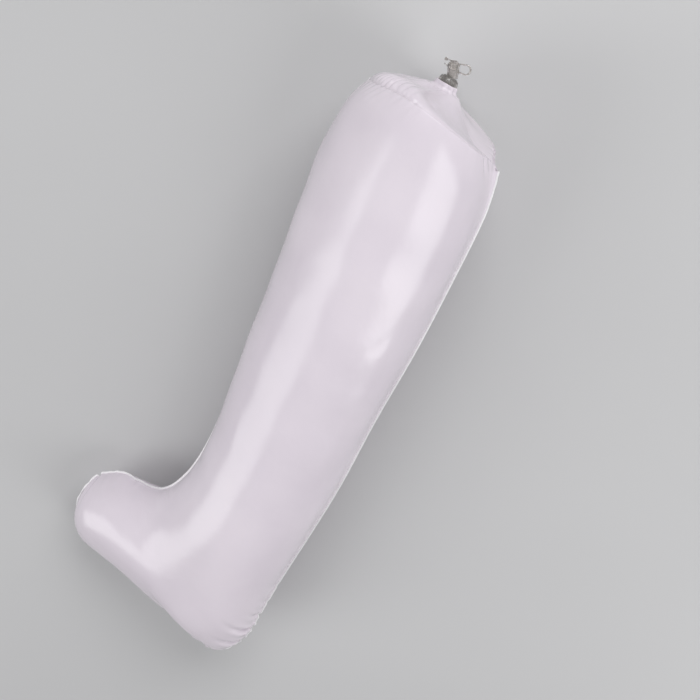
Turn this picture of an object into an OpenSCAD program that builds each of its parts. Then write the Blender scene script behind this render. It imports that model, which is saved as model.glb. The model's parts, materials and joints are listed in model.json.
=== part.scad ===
// Inflatable boot shaper of thin soft PVC film, blown up and lying on its side.
// It is drawn upright in its own mid-plane: Y runs up the leg from the heel, X runs from
// the toe (low) to the back of the leg (high), and Z runs through the thickness, with the
// left side panel on +Z. placed() then turns it a little and sets it down, so that the calf
// and the toe both rest on the floor and the middle of its footprint is at the origin.

/* [Bladder] */
// Height from the heel to the front corner of the top seam
leg_len = 472; // [430:1:520]
// Width of the calf between its two welds
calf_w = 125; // [115:1:135]
// Thickness of the calf through both side panels
calf_depth = 126; // [110:1:136]
// Thickness of the foot through both side panels
foot_depth = 72; // [60:1:80]
// Reach of the toe in front of the heel
foot_reach = 160; // [145:1:180]
// Thickness of the PVC film
film_t = 0.3; // [0.2:0.05:0.5]
// Width of the flat weld flange round the two side panels
weld_w = 3.5; // [2:0.5:5]

/* [Top panel] */
// How far the top seam arches up the leg at the middle of each side panel
seam_bow = 12; // [4:1:18]
// How far the top seam climbs, and draws in, beside its back corner
corner_climb = 10; // [0:1:14]
// Rise of the domed top panel over the line between its corners
dome_rise = 17; // [10:1:24]
// Distance from the middle of the top seam to the valve, towards the shin
valve_to_shin = 6.6; // [0:0.2:9]
// Outer radius of the film neck that is drawn up round the valve
neck_r = 8.6; // [8.4:0.1:10]
// Height of that neck over the dome
neck_h = 5.2; // [4:0.1:7]

/* [Valve] */
// Lean of the valve base from the leg's axis, towards the back of the leg
base_lean = 8; // [0:1:12]
// Lean of the soft stem from the valve base, towards the shin
stem_lean = 24; // [0:1:25]
// Outer radius of the clear collar at its foot; it tapers to its rim
collar_r = 7.4; // [7.3:0.1:7.6]
// Height of the collar over the film neck
collar_h = 3.8; // [3.4:0.1:4.5]
// Length of the stem from its foot to its mouth
stem_len = 8.6; // [8:0.2:10]
// Outer radius of the stem
stem_r = 4.1; // [4:0.1:4.3]
// Radius of the bore that takes a pump nozzle
bore_r = 2.9; // [2.7:0.1:3]
// Radius of the wider mouth that the plug fits
mouth_r = 3.2; // [3.1:0.1:3.3]
// Radius of the plug's head at the stem's mouth
head_r = 4.4; // [4.2:0.1:4.6]
// Distance from the stem's axis to the pivot of the plug's strap
strap_reach = 8.8; // [8.4:0.1:9.6]

/* [Resting] */
// Turn about X that brings the calf's lower side level
rest_pitch = 1.6; // [-2:0.1:5]
// Turn about Y that brings the toe down to the floor
rest_roll = -10.2; // [-14:0.1:0]

/* [Hidden] */
$fn = 48;

// Steps along the body and round each half section
n_along = 54;
n_round = 20;

// Stations down the body, each [shin or instep x, y, back or sole x, y, half thickness],
// at the drawn size of 472 by 125 mm with a 70 mm shin
drawn_len = 472;
drawn_w = 125;
drawn_shin = 70;
drawn_reach = 160;
k_x = calf_w / drawn_w;
k_y = leg_len / drawn_len;
k_toe = (foot_reach - drawn_shin * k_x) / (drawn_reach - drawn_shin);
k_calf = calf_depth / 126;
k_foot = foot_depth / 72;
leg_stations = [
    [-52, 472, 52.5, 447, 66],
    [-59.5, 454, 55.5, 431, 65],
    [-66.5, 422, 56.5, 411, 63],
    [-68, 375, 54, 370, 62],
    [-69, 310, 48.5, 306, 60],
    [-69.7, 240, 40.2, 240, 56],
    [-70.5, 190, 34.5, 182, 53],
    [-73, 160, 27.5, 135, 51.5],
    [-78, 136, 19.5, 88, 51]
];
foot_stations = [
    [-86, 118, 14, 50, 49],
    [-95, 108, 8.5, 21, 43],
    [-105, 104, -10, -1.5, 37],
    [-118, 103.6, -55, 13.5, 36],
    [-131, 103.8, -95, 26.5, 34.5],
    [-142, 99.5, -123, 32.5, 32],
    [-151, 89.5, -141, 36.5, 26],
    [-157, 77, -152.5, 44, 16],
    [-159.8, 63.5, -158.4, 55.5, 0]
];
function wide(x) = x > -drawn_shin ? x * k_x : -drawn_shin * k_x + (x + drawn_shin) * k_toe;
function sized(s, k_deep) = [wide(s[0]), s[1] * k_y, wide(s[2]), s[3] * k_y, s[4] * k_deep];
stations = concat(
    [for (s = leg_stations) sized(s, k_calf)],
    [for (s = foot_stations) sized(s, k_foot)]
);

// A smooth curve through the stations, from the top seam (t = 0) to the toe (t = 1)
last = len(stations) - 1;
function station(i) =
    i < 0 ? 2 * stations[0] - stations[1] :
    i > last ? 2 * stations[last] - stations[last - 1] : stations[i];
function along(t) =
    let (x = min(max(t, 0), 1) * last, i = min(floor(x), last - 1), f = x - i)
    let (a = station(i - 1), b = station(i), c = station(i + 1), d = station(i + 2))
    0.5 * (2 * b + (c - a) * f + (2 * a - 5 * b + 4 * c - d) * f * f
        + (3 * b - a - 3 * c + d) * f * f * f);

// The line across the mid-plane at t: its ends, its direction and the way up the leg
function shin_pt(s) = [s[0], s[1]];
function back_pt(s) = [s[2], s[3]];
function unit(v) = v / norm(v);
function across(s) = unit(back_pt(s) - shin_pt(s));
function up_leg(s) = [-across(s)[1], across(s)[0]];

// A point of a panel's half section at angle a; inset moves it in by the film's thickness
seam_fade = 0.18;
function fade(t) = pow(max(0, 1 - t / seam_fade), 2);
function climb(a, n) = corner_climb * pow(sin(a), 0.35) * pow((1 - cos(a)) / 2, n);
function film_pt(t, a, inset) =
    let (s = along(t), mid = (shin_pt(s) + back_pt(s)) / 2)
    let (half = norm(back_pt(s) - shin_pt(s)) / 2 - inset, rise = seam_bow * pow(sin(a), 2) + climb(a, 6))
    let (flat = mid - across(s) * half * cos(a))
    let (p = flat + (up_leg(s) * rise - across(s) * 1.2 * climb(a, 14)) * fade(t))
    [p[0], p[1], film_t - inset + max(s[4] - film_t, 0) * sin(a)];

// The flange's outer edge beside the shin and instep, and beside the back and sole
slope_step = 0.004;
function slope(t) = along(min(t + slope_step, 1)) - along(max(t - slope_step, 0));
function shin_out(t) = let (v = unit(shin_pt(slope(t)))) [v[1], -v[0]];
function back_out(t) = let (v = unit(back_pt(slope(t)))) [-v[1], v[0]];
function flange_pt(p, out, z) = [p[0] + out[0] * weld_w, p[1] + out[1] * weld_w, z];

// One closed ring of the panel's film: over the outside, round the flange, back inside
angles = [for (j = [0:n_round]) 180 * j / n_round];
function ring(t) =
    let (s = along(t), f = shin_pt(s), b = back_pt(s), fo = shin_out(t), bo = back_out(t))
    concat(
        [flange_pt(f, fo, film_t)],
        [for (a = angles) film_pt(t, a, 0)],
        [flange_pt(b, bo, film_t), flange_pt(b, bo, 0)],
        [for (a = angles) film_pt(t, 180 - a, film_t)],
        [flange_pt(f, fo, 0)]
    );

// The last ring closes the flange round the tip of the toe, in a shallow arc with round corners
tip_bulge = 0.2;
corner = 0.7;
function toe_ring() =
    let (s = along(1), tip = [across(s)[1], -across(s)[0], 0] * weld_w)
    let (inner = ring(1), n = len(ring(1)))
    let (fo = [each shin_out(1), 0] * weld_w, bo = [each back_out(1), 0] * weld_w)
    [for (k = [0:n - 1])
        let (on_shin = k == 0 || k == n - 1, on_sole = k == n_round + 2 || k == n_round + 3)
        on_shin ? inner[k] - fo + (fo + tip) * corner :
        on_sole ? inner[k] - bo + (bo + tip) * corner :
        inner[k] + tip * (1 + tip_bulge * sin(angles[min(k, n - 1 - k) - 1]))
    ];

// Triangles between two rings, and across a cut end of the film
function band(i, j, k, l) = [[i, k, j], [i, l, k]];
function pair(list) = [for (two = list) each two];

module side_panel_film() {
    rings = concat([for (i = [0:n_along]) ring(i / n_along)], [toe_ring()]);
    n = len(rings[0]);
    m = len(rings);
    skin = [for (i = [0:m - 2], k = [0:n - 1])
        band(i * n + k, (i + 1) * n + k, (i + 1) * n + (k + 1) % n, i * n + (k + 1) % n)];
    top_end = [for (k = [0:n / 2 - 2]) band(k, k + 1, n - 2 - k, n - 1 - k)];
    z = (m - 1) * n;
    toe_end = [for (k = [0:n / 2 - 2]) band(z + k, z + n - 1 - k, z + n - 2 - k, z + k + 1)];
    polyhedron(pair([for (r = rings) [each r]]), pair(concat(skin, top_end, toe_end)));
}

// Where the valve stands: on the dome, a little to the shin side of its middle
top_s = along(0);
seat_line = (shin_pt(top_s) + back_pt(top_s)) / 2 - across(top_s) * valve_to_shin;
valve_at = seat_line + up_leg(top_s) * (seam_bow / 2 + dome_rise);
valve_up = [sin(base_lean), cos(base_lean), 0];
valve_back = [cos(base_lean), -sin(base_lean), 0];

// The top panel's loops: the seam, the dome, the neck's wall and its lip with the hole
n_loop = 2 * (n_round + 1);
dome_steps = [1, 0.93, 0.82, 0.68, 0.52, 0.36, 0.2, 0];
neck_foot_r = neck_r + 2.7;
lip_r = collar_r + 0.2;
neck_outside = [
    [neck_foot_r, 0], [neck_r + 0.9, 0.7], [neck_r, 2.4],
    [neck_r, neck_h - 0.8], [neck_r - 0.5, neck_h], [lip_r, neck_h]
];
neck_inside = [for (p = neck_outside) [p[0] > neck_r - 0.1 ? p[0] - film_t : p[0], p[1] - film_t]];
crown = 1.1;
crown_to_shin = 1.4;
function crown_lift(q, a) = dome_rise * pow(q, 3) * (1 - q) * (crown + crown_to_shin * cos(a));
function seam_pt(k, inset) =
    let (side = k <= n_round ? 1 : -1, j = side > 0 ? k : n_loop - 1 - k, p = film_pt(0, angles[j], inset))
    [p[0], p[1], side * (p[2] + (inset > 0 ? 0.03 : 0))];
function round_pt(k, r, h) =
    let (a = 360 * (k + 0.5) / n_loop)
    [valve_at[0], valve_at[1], 0] - valve_back * cos(a) * r + [0, 0, sin(a) * r] + valve_up * h;
function dome_pt(k, q, inset) =
    let (lift = crown_lift(q, 360 * (k + 0.5) / n_loop))
    let (p = round_pt(k, neck_foot_r - inset * (1 - q), -inset * (1 - q)) * (1 - q) + seam_pt(k, inset) * q)
    let (sink = inset * 4 * q * (1 - q))
    [p[0] + up_leg(top_s)[0] * (lift - sink), p[1] + up_leg(top_s)[1] * (lift - sink), p[2]];

module top_film() {
    loops = concat(
        [for (q = dome_steps) [for (k = [0:n_loop - 1]) dome_pt(k, q, 0)]],
        [for (i = [1:5]) [for (k = [0:n_loop - 1]) round_pt(k, neck_outside[i][0], neck_outside[i][1])]],
        [for (i = [5:-1:1]) [for (k = [0:n_loop - 1]) round_pt(k, neck_inside[i][0], neck_inside[i][1])]],
        [for (i = [len(dome_steps) - 1:-1:0]) [for (k = [0:n_loop - 1]) dome_pt(k, dome_steps[i], film_t)]]
    );
    n = n_loop;
    m = len(loops);
    skin = [for (i = [0:m - 1], k = [0:n - 1]) let (o = (i + 1) % m)
        band(i * n + k, i * n + (k + 1) % n, o * n + (k + 1) % n, o * n + k)];
    polyhedron(pair([for (r = loops) [each r]]), pair(skin));
}

// Where the stem's foot stands on the valve's base, a little back, the plug's conical head,
// and the loop of the strap that ties the plug to the stem
foot_back = 1.3;
foot_h = neck_h + collar_h + 0.8;
head_t = 0.6;
head_cone = 2.6;
head_top_r = 2.1;
strap_w = 3;
loop_r = 3.8;
top_z = stem_len + 1.4;

// Setting the drawn body down: turned, lowered to its lowest point and centred
function turned(p) =
    let (y = p[1] * cos(rest_pitch) - p[2] * sin(rest_pitch))
    let (z = p[1] * sin(rest_pitch) + p[2] * cos(rest_pitch))
    [p[0] * cos(rest_roll) + z * sin(rest_roll), y, z * cos(rest_roll) - p[0] * sin(rest_roll)];
body_pts = [for (i = [0:n_along], p = ring(i / n_along), side = [-1, 1]) turned([p[0], p[1], side * p[2]])];
toe_pts = [for (p = toe_ring()) turned(p)];
function on_stem(x, z) =
    let (s = sin(stem_lean), c = cos(stem_lean))
    let (back = x * c - z * s + foot_back, up = x * s + z * c + foot_h)
    [valve_at[0], valve_at[1], 0] + valve_back * back + valve_up * up;
head_top = [turned(on_stem(head_top_r, stem_len + head_t + head_cone))];
loop_top = [for (a = [0:5:90], side = [-1, 1])
    let (z = top_z - loop_r + loop_r * cos(a))
    turned(on_stem(strap_reach + loop_r * sin(a), z) + [0, 0, side * strap_w / 2])];
xs = [for (p = concat(body_pts, toe_pts)) p[0]];
ys = [for (p = concat(body_pts, head_top, loop_top)) p[1]];
zs = [for (p = body_pts) p[2]];
floor_shift = [-(min(xs) + max(xs)) / 2, -(min(ys) + max(ys)) / 2, -min(zs)];
module placed() {
    translate(floor_shift) rotate([rest_pitch, rest_roll, 0]) children();
}

// Frames of the valve: its base, and its leaning stem
module at_base() {
    translate([valve_at[0], valve_at[1], 0]) rotate([0, 0, -base_lean]) rotate([-90, 0, 0]) children();
}
module at_stem() {
    at_base() translate([foot_back, 0, foot_h]) rotate([0, -stem_lean, 0]) children();
}

// Clear vinyl base: a flange welded under the neck's lip, and the tapered collar that shows
base_t = 1;
collar_taper = 0.8;
collar_wall = 0.8;
lip_under = neck_h - film_t;
base_low = lip_under - base_t;
rim_h = neck_h + collar_h;
rim_r = collar_r - collar_taper;
inner_foot_r = collar_r - 0.9;
inner_rim_r = rim_r - collar_wall;
module base_body() {
    rotate_extrude($fn = 72) polygon([
        [inner_foot_r, base_low], [neck_r - film_t - 0.3, base_low], [neck_r - film_t - 0.6, lip_under],
        [collar_r, lip_under], [collar_r, neck_h + 0.3], [rim_r, rim_h - 0.4],
        [rim_r - 0.4, rim_h], [inner_rim_r, rim_h]
    ]);
}

// Rolling diaphragm: it is welded inside the foot of the collar, runs up inside the collar's
// wall and rolls in at its rim to the stem's foot, so that the stem can be pushed in
foot_r = 5.2;
foot_t = 1.2;
roll_t = 0.4;
roll_gap = 0.25;
function wall_r(z) = inner_foot_r + (inner_rim_r - inner_foot_r) * (z - base_low) / (rim_h - base_low);
module diaphragm_body() {
    out_low = wall_r(base_low + 1.2) - roll_gap;
    out_high = wall_r(rim_h - 0.6) - roll_gap;
    rotate_extrude($fn = 72) polygon([
        [inner_foot_r, base_low], [wall_r(base_low + 0.9), base_low + 0.9], [out_low, base_low + 1.2],
        [out_high, rim_h - 0.6], [out_high - 0.05, rim_h + 0.2], [foot_r, foot_h - 0.1],
        [foot_r, foot_h - 0.6], [out_high - 0.3, foot_h - 0.9],
        [out_low - roll_t, base_low + 1.2], [out_low - roll_t, base_low]
    ]);
}

// Soft stem: a foot in line with the base, and the leaning tube with its bore, which narrows
// at the foot and widens at the mouth; a bead stiffens the rim and carries a small thumb lip
waist_r = 3.7;
flare_from = 0.4;
flare_to = 2.6;
air_hole_r = 2.6;
bore_from = 0.6;
mouth_deep = 3.2;
bead_r = 4.4;
bead_t = 0.9;
lip_from = 3.6;
lip_len = 3.2;
lip_w = 2.6;
lip_t = 0.8;
lip_rise = 32;
lip_z = 1.75;
module stem_body() {
    difference() {
        union() {
            at_base() translate([0, 0, foot_h - foot_t]) cylinder(h = foot_t, r = foot_r);
            at_stem() {
                translate([0, 0, -foot_t]) cylinder(h = foot_t + flare_from, r = waist_r);
                translate([0, 0, flare_from]) cylinder(h = flare_to - flare_from, r1 = waist_r, r2 = stem_r);
                translate([0, 0, flare_to]) cylinder(h = stem_len - flare_to, r = stem_r);
                translate([0, 0, stem_len - bead_t]) cylinder(h = bead_t, r = bead_r);
                translate([-lip_from, -lip_w / 2, stem_len - lip_z]) rotate([0, lip_rise, 0])
                    translate([-lip_len, 0, 0]) cube([lip_len, lip_w, lip_t]);
            }
        }
        at_base() translate([0, 0, foot_h - foot_t - 4]) cylinder(h = 4, r = foot_r + 1);
        at_stem() {
            translate([0, 0, -4]) cylinder(h = 5 + bore_from, r = air_hole_r);
            translate([0, 0, bore_from]) cylinder(h = stem_len, r = bore_r);
            translate([0, 0, stem_len - mouth_deep]) cylinder(h = mouth_deep + 1, r = mouth_r);
        }
    }
}

// Flap that closes the stem's inner end; it hangs on a thin bead at its back edge
flap_r = 3.1;
flap_t = 0.5;
flap_back = 1.55;
module flap_body() {
    at_base() translate([flap_back, 0, foot_h - foot_t - flap_t]) {
        cylinder(h = flap_t, r = flap_r);
        translate([flap_r, 1, flap_t / 2]) rotate([90, 0, 0]) cylinder(h = 2, r = flap_t / 2, $fn = 24);
    }
}

// Plug: a tapered pin, a conical head and a pull tab with a rolled grip over the shin side
pin_len = 3;
tab_len = 4.2;
tab_w = 3;
tab_t = 0.8;
tab_rise = 12;
grip_r = 1.1;
seat_gap = 0.02;
module plug_body() {
    at_stem() translate([0, 0, stem_len + seat_gap]) {
        translate([0, 0, -pin_len]) cylinder(h = pin_len, r1 = mouth_r - 0.6, r2 = mouth_r - 0.1);
        cylinder(h = head_t, r = head_r);
        translate([0, 0, head_t]) cylinder(h = head_cone, r1 = head_r - 0.2, r2 = head_top_r);
        translate([-1.5, 0, head_t + head_cone - tab_t]) rotate([0, tab_rise, 0]) {
            translate([-tab_len, -tab_w / 2, 0]) cube([tab_len, tab_w, tab_t]);
            translate([-tab_len, tab_w / 2 + 0.2, tab_t / 2]) rotate([90, 0, 0])
                cylinder(h = tab_w + 0.4, r = grip_r);
        }
    }
}

// Strap: a flat loop from the head's flank round to the side of the stem
strap_t = 0.8;
strap_droop = 15;
module strap_body() {
    mid_z = top_z - loop_r;
    at_stem() {
        translate([strap_reach, 0, mid_z]) rotate([90, 0, 0]) intersection() {
            difference() {
                cylinder(h = strap_w, r = loop_r, center = true);
                cylinder(h = strap_w + 1, r = loop_r - strap_t, center = true);
            }
            translate([0, -loop_r - 1, -strap_w]) cube([loop_r + 1, 2 * loop_r + 2, 2 * strap_w]);
        }
        difference() {
            translate([0, -strap_w / 2, top_z - strap_t]) cube([strap_reach, strap_w, strap_t]);
            cylinder(h = stem_len + seat_gap + head_t, r = head_r);
            translate([0, 0, stem_len + seat_gap + head_t])
                cylinder(h = head_cone, r1 = head_r - 0.2, r2 = head_top_r);
        }
        difference() {
            translate([strap_reach, -strap_w / 2, mid_z - loop_r]) rotate([0, strap_droop, 0])
                translate([-strap_reach, 0, 0]) cube([strap_reach, strap_w, strap_t]);
            cylinder(h = 40, r = stem_r);
            translate([-20, -10, -10]) cube([20, 20, 40]);
        }
    }
}

module left_panel() { color("white") placed() side_panel_film(); }
module right_panel() { color("white") placed() mirror([0, 0, 1]) side_panel_film(); }
module top_panel() { color("white") placed() top_film(); }
module valve_base() { color("gainsboro") placed() at_base() base_body(); }
module valve_diaphragm() { color("whitesmoke") placed() at_base() diaphragm_body(); }
module valve_stem() { color("lightgray") placed() stem_body(); }
module check_flap() { color("lightgray") placed() flap_body(); }
module valve_plug() { color("silver") placed() plug_body(); }
module plug_strap() { color("gainsboro") placed() strap_body(); }

left_panel();
right_panel();
top_panel();
valve_base();
valve_diaphragm();
valve_stem();
check_flap();
valve_plug();
plug_strap();
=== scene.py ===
"""Inflatable boot shaper: a blown-up film bladder with a clear push-in valve, round its CAD frame.

The bladder is drawn upright in its own mid-plane, as the frame's solids are: Y runs up the leg
from the heel, X from the toe (low) to the back of the leg (high), and Z through the thickness,
with the left side panel on +Z. Bladder.rest turns it and sets it down where the frame lies.
"""

import json
import logging
import math
from dataclasses import dataclass, field
from enum import Enum

import bpy
import numpy as np
from mathutils import Matrix, Vector


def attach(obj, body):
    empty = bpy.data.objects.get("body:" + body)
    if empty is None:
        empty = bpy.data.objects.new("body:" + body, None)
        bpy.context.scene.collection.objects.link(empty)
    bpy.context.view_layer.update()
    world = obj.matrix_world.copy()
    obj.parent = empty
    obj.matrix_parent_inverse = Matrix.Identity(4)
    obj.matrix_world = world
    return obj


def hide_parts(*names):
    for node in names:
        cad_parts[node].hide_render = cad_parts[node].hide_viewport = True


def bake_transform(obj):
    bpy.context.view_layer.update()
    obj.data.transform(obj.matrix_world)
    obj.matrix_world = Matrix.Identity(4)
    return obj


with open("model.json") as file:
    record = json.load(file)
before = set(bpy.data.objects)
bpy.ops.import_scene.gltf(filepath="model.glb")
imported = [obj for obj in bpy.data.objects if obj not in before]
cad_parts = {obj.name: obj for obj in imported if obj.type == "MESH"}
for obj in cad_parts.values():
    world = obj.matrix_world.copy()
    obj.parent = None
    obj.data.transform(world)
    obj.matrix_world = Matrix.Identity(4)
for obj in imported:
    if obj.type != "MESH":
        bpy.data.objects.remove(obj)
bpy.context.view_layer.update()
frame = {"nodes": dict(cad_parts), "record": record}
log = logging.getLogger("boot_shaper")

Colour = tuple[float, float, float]
Place = tuple[float, float, float]
Outline = list[tuple[float, float]]
Table = tuple[tuple[float, float], ...]
Faces = list[tuple[int, ...]]


# Finishes


@dataclass(frozen=True)
class BumpLayer:
    """A layer of noise in a surface's height.

    Attributes:
        scale: Waves per metre.
        detail: How many finer layers it has.
        strength: How much of it shows, from 0 to 1.
        height: Its height, in metres.
    """

    scale: float
    detail: float
    strength: float
    height: float


class NodeBuilder:
    """A thin helper that adds shader nodes to one material."""

    def __init__(self, name: str) -> None:
        """Starts an empty node material.

        Args:
            name: The material's name.
        """
        self.material = bpy.data.materials.new(name)
        self.material.use_nodes = True
        self.tree = self.material.node_tree
        self.shader = self.tree.nodes["Principled BSDF"]

    def add(self, kind: str, **settings: object) -> bpy.types.Node:
        """Adds a node and sets its properties and its sockets' values.

        Args:
            kind: The node's type name, without the ShaderNode prefix.
            **settings: Properties by their own name, or socket values by the socket's name with
                spaces as underscores.

        Returns:
            The new node.
        """
        node = self.tree.nodes.new("ShaderNode" + kind)
        for key, value in settings.items():
            socket = key.replace("_", " ")
            if socket in node.inputs:
                node.inputs[socket].default_value = value
            else:
                setattr(node, key, value)
        return node

    def link(self, source: bpy.types.NodeSocket, target: bpy.types.NodeSocket) -> None:
        """Links an output socket to an input socket."""
        self.tree.links.new(source, target)

    def ramp(
        self, source: bpy.types.NodeSocket, stops: tuple[tuple[float, Colour], ...]
    ) -> bpy.types.NodeSocket:
        """Maps a value to colours.

        Args:
            source: The socket that gives the value.
            stops: Positions from 0 to 1, each with its colour.

        Returns:
            The ramp's colour socket.
        """
        node = self.add("ValToRGB")
        elements = node.color_ramp.elements
        while len(elements) < len(stops):
            elements.new(0.5)
        for element, (position, colour) in zip(elements, stops):
            element.position = position
            element.color = (*colour, 1.0)
        self.link(source, node.inputs["Fac"])
        return node.outputs["Color"]

    def noise(self, scale: float, detail: float, roughness: float = 0.5) -> bpy.types.NodeSocket:
        """A noise value over the object's own coordinates, in waves per metre.

        Args:
            scale: Waves per metre.
            detail: How many finer layers it has.
            roughness: How strong the finer layers are.

        Returns:
            The value's socket.
        """
        place = self.add("TexCoord")
        node = self.add("TexNoise", Scale=scale, Detail=detail, Roughness=roughness)
        self.link(place.outputs["Object"], node.inputs["Vector"])
        return node.outputs["Fac"]

    def span(self, source: bpy.types.NodeSocket, ends: tuple[float, float]) -> bpy.types.NodeSocket:
        """Maps a noise value's usual span, 0.3 to 0.7, to another span.

        Args:
            source: A socket of values round 0.5.
            ends: What 0.3 and 0.7 become.

        Returns:
            The mapped value's socket.
        """
        node = self.add("MapRange")
        self.link(source, node.inputs["Value"])
        for socket, value in zip(("From Min", "From Max", "To Min", "To Max"), (0.3, 0.7, *ends)):
            node.inputs[socket].default_value = value
        return node.outputs["Result"]

    def bumps(self, layers: tuple[BumpLayer, ...]) -> None:
        """Stacks layers of noise into the shader's normal.

        Args:
            layers: The layers, the coarsest first.
        """
        normal = None
        for layer in layers:
            bump = self.add("Bump", Strength=layer.strength, Distance=layer.height)
            self.link(self.noise(layer.scale, layer.detail), bump.inputs["Height"])
            if normal is not None:
                self.link(normal, bump.inputs["Normal"])
            normal = bump.outputs["Normal"]
        self.link(normal, self.shader.inputs["Normal"])


@dataclass(frozen=True)
class FilmFinish:
    """Glossy white PVC film: a faint lilac cast, whiter at the weld, with a soft grain.

    Attributes:
        name: The material's name.
        light: The film's lighter tone.
        shade: Its darker tone.
        weld_light: The weld's lighter tone.
        weld_shade: The weld's darker tone.
        gloss: Its roughness, where the noise is low and where it is high.
        ior: Its index of refraction.
        grain: The layers of its surface: slack, stretch marks and grain.
    """

    name: str = "white_pvc_film"
    light: Colour = (0.79, 0.726, 0.79)
    shade: Colour = (0.745, 0.682, 0.75)
    weld_light: Colour = (0.93, 0.925, 0.93)
    weld_shade: Colour = (0.88, 0.87, 0.885)
    gloss: tuple[float, float] = (0.19, 0.265)
    ior: float = 1.52
    grain: tuple[BumpLayer, ...] = (
        BumpLayer(45.0, 2.0, 0.35, 0.0009),
        BumpLayer(230.0, 2.0, 0.18, 0.00025),
        BumpLayer(2600.0, 1.0, 0.10, 0.00003),
    )

    def build(self) -> bpy.types.Material:
        """Builds the film's material. A mesh's "weld" attribute says how much of it is weld.

        Returns:
            The material.
        """
        b = NodeBuilder(self.name)
        film = b.ramp(b.noise(14.0, 3.0), ((0.35, self.shade), (0.65, self.light)))
        weld = b.ramp(b.noise(900.0, 2.0), ((0.4, self.weld_shade), (0.6, self.weld_light)))
        mix = b.add("Mix", data_type="RGBA")
        factor, first, second = (mix.inputs[number] for number in (0, 6, 7))
        b.link(b.add("Attribute", attribute_name="weld").outputs["Fac"], factor)
        b.link(film, first)
        b.link(weld, second)
        b.link(mix.outputs[2], b.shader.inputs["Base Color"])
        b.link(b.span(b.noise(55.0, 3.0), self.gloss), b.shader.inputs["Roughness"])
        b.shader.inputs["IOR"].default_value = self.ior
        b.bumps(self.grain)
        return b.material


@dataclass(frozen=True)
class VinylFinish:
    """Clear soft moulded PVC, a little hazy, with a smooth skin.

    Attributes:
        name: The material's name.
        light: Its tone where it is clearest.
        deep: Its tone where it is haziest.
        clear: How much light goes through it, from 0 to 1.
        gloss: Its roughness, where the noise is low and where it is high.
        ior: Its index of refraction.
        grain: The layers of its surface.
    """

    name: str
    light: Colour
    deep: Colour
    clear: float
    gloss: tuple[float, float] = (0.08, 0.22)
    ior: float = 1.5
    grain: tuple[BumpLayer, ...] = (BumpLayer(500.0, 2.0, 0.25, 0.0001), BumpLayer(2400.0, 2.0, 0.12, 0.00002))

    def build(self) -> bpy.types.Material:
        """Builds the vinyl's material.

        Returns:
            The material.
        """
        b = NodeBuilder(self.name)
        haze = b.noise(260.0, 3.0, 0.55)
        b.link(b.ramp(haze, ((0.3, self.deep), (0.7, self.light))), b.shader.inputs["Base Color"])
        b.link(b.span(b.noise(420.0, 3.0, 0.6), self.gloss), b.shader.inputs["Roughness"])
        b.shader.inputs["IOR"].default_value = self.ior
        b.shader.inputs["Transmission Weight"].default_value = self.clear
        b.bumps(self.grain)
        return b.material


# Meshes


class SeamSide(Enum):
    """The seams that a side panel ends in."""

    SHIN = "shin"
    BACK = "back"
    TOP = "top"


SeamMap = dict[SeamSide, np.ndarray]


@dataclass(frozen=True)
class Crease:
    """A groove that starts at a seam and runs into the film, with raised film beside it.

    Attributes:
        seam: The seam it starts at.
        at: Its place along that seam, in metres from the seam's start.
        width: Half the groove's width.
        depth: The groove's depth at the seam.
        reach: How far it runs into the film.
        slant: Sideways run for each metre into the film.
        start: How far from the seam its deepest place is, for a crease that stands alone.
        dent: Whether it is a plain dent, with no raised film beside it.
    """

    seam: SeamSide
    at: float
    width: float
    depth: float
    reach: float
    slant: float = 0.0
    start: float = 0.0
    dent: bool = False


def catmull_rom(points: np.ndarray, t: np.ndarray) -> np.ndarray:
    """A smooth curve through evenly numbered points.

    Args:
        points: The points, one row each.
        t: Places along it, from 0 to 1.

    Returns:
        One row for each place.
    """
    padded = np.vstack([2 * points[0] - points[1], points, 2 * points[-1] - points[-2]])
    x = np.clip(t, 0, 1) * (len(points) - 1)
    i = np.minimum(x.astype(int), len(points) - 2)
    f = (x - i)[:, None]
    a, b, c, d = padded[i], padded[i + 1], padded[i + 2], padded[i + 3]
    return 0.5 * (2 * b + (c - a) * f + (2 * a - 5 * b + 4 * c - d) * f**2 + (3 * b - a - 3 * c + d) * f**3)


def unit(v: np.ndarray) -> np.ndarray:
    """Each row at length 1."""
    return v / np.maximum(np.linalg.norm(v, axis=-1, keepdims=True), 1e-12)


def hat(x: np.ndarray) -> np.ndarray:
    """A groove's section: 1 in the middle, with a low shoulder on each side."""
    return (1 - 1.1 * x**2) * np.exp(-0.9 * x**2)


def near(x: np.ndarray, reach: float, power: float = 2.0) -> np.ndarray:
    """1 at 0, falling off over a reach.

    Args:
        x: Distances, 0 or more for a power that isn't even.
        reach: Where it has fallen to 0.37.
        power: How flat its top and how steep its sides are.

    Returns:
        A value from 0 to 1 for each distance.
    """
    return np.exp(-((x / reach) ** power))


def step_up(x: np.ndarray, at: float, width: float) -> np.ndarray:
    """A soft step from 0 to 1.

    Args:
        x: Places.
        at: The step's middle.
        width: How soft it is.

    Returns:
        A value from 0 to 1 for each place.
    """
    return 1 / (1 + np.exp(-(x - at) / width))


def ramped(x: np.ndarray, start: float, end: float) -> np.ndarray:
    """A straight run from 0 at start to 1 at end, level outside them."""
    return np.clip((x - start) / (end - start), 0, 1)


def gentle_waves(points: np.ndarray, wavelength: float, seed: int) -> np.ndarray:
    """Smooth uneven waves over space, from about -1 to 1.

    Args:
        points: Positions, the last axis x, y, z.
        wavelength: About how far apart the crests are.
        seed: Fixes the pattern.

    Returns:
        One value for each position.
    """
    rng = np.random.default_rng(seed)
    total = np.zeros(points.shape[:-1])
    for _ in range(14):
        direction = unit(rng.normal(size=3)) * rng.uniform(0.6, 1.5)
        total += np.sin(points @ direction * (2 * math.pi / wavelength) + rng.uniform(0, 2 * math.pi))
    return total / 3.7


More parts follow.
